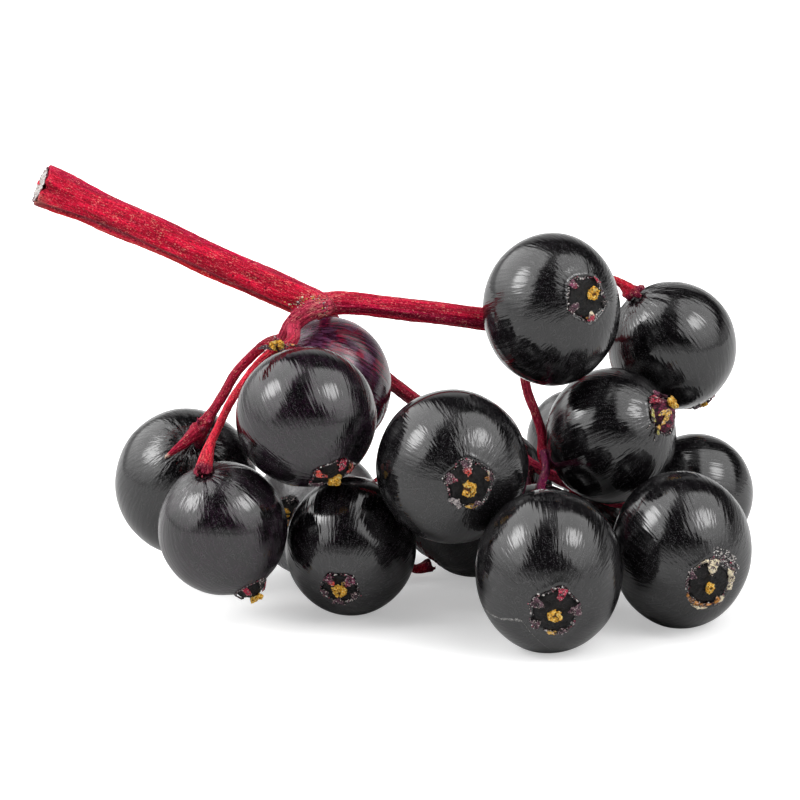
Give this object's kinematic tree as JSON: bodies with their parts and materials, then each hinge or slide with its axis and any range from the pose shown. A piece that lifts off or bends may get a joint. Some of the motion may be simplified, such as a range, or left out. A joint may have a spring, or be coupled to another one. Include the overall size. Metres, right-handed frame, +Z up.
{
  "type": "elderberry cluster",
  "caption": "Picked spray of ripe elderberries: a cut main stem forks into thin red stalks that carry glossy near-black berries, lying on its berries.",
  "frame": {"origin": "on the surface that the spray lies on, under the middle of its bounding box", "axes": "+Z up, X along the spray with the cut end of the main stem at -X, -Y the side most crowns face"},
  "size_m": [0.0332, 0.024, 0.0201],
  "materials": {
    "berry_skin": "glossy near-black berry skin with fine lengthwise striations and a faint purple tint",
    "calyx": "dried purple-red sepals, dark disc and golden granular stigma, matt",
    "stalk": "crimson ribbed stalk skin with darker grooves and small pale specks, satin"
  },
  "bodies": {
    "root": {"main_stem": "stalk", "right_ray": "stalk", "left_ray": "stalk", "rear_ray": "stalk", "lower_ray": "stalk", "pedicel_01": "stalk", "berry_01": "berry_skin", "calyx_01": "calyx", "pedicel_02": "stalk", "berry_02": "berry_skin", "calyx_02": "calyx", "pedicel_03": "stalk", "berry_03": "berry_skin", "calyx_03": "calyx", "pedicel_04": "stalk", "berry_04": "berry_skin", "calyx_04": "calyx", "pedicel_05": "stalk", "berry_05": "berry_skin", "calyx_05": "calyx", "pedicel_06": "stalk", "berry_06": "berry_skin", "calyx_06": "calyx", "pedicel_07": "stalk", "berry_07": "berry_skin", "calyx_07": "calyx", "pedicel_08": "stalk", "berry_08": "berry_skin", "calyx_08": "calyx", "pedicel_09": "stalk", "berry_09": "berry_skin", "calyx_09": "calyx", "pedicel_10": "stalk", "berry_10": "berry_skin", "calyx_10": "calyx", "pedicel_11": "stalk", "berry_11": "berry_skin", "calyx_11": "calyx", "pedicel_12": "stalk", "berry_12": "berry_skin", "calyx_12": "calyx", "pedicel_13": "stalk", "berry_13": "berry_skin", "calyx_13": "calyx", "pedicel_14": "stalk", "berry_14": "berry_skin", "calyx_14": "calyx", "pedicel_15": "stalk", "berry_15": "berry_skin", "calyx_15": "calyx", "pedicel_16": "stalk", "berry_16": "berry_skin", "calyx_16": "calyx", "pedicel_17": "stalk", "berry_17": "berry_skin", "calyx_17": "calyx", "flower_stub": "stalk", "flower_stalk": "stalk", "withered_flower": "calyx"}
  },
  "joints": []
}
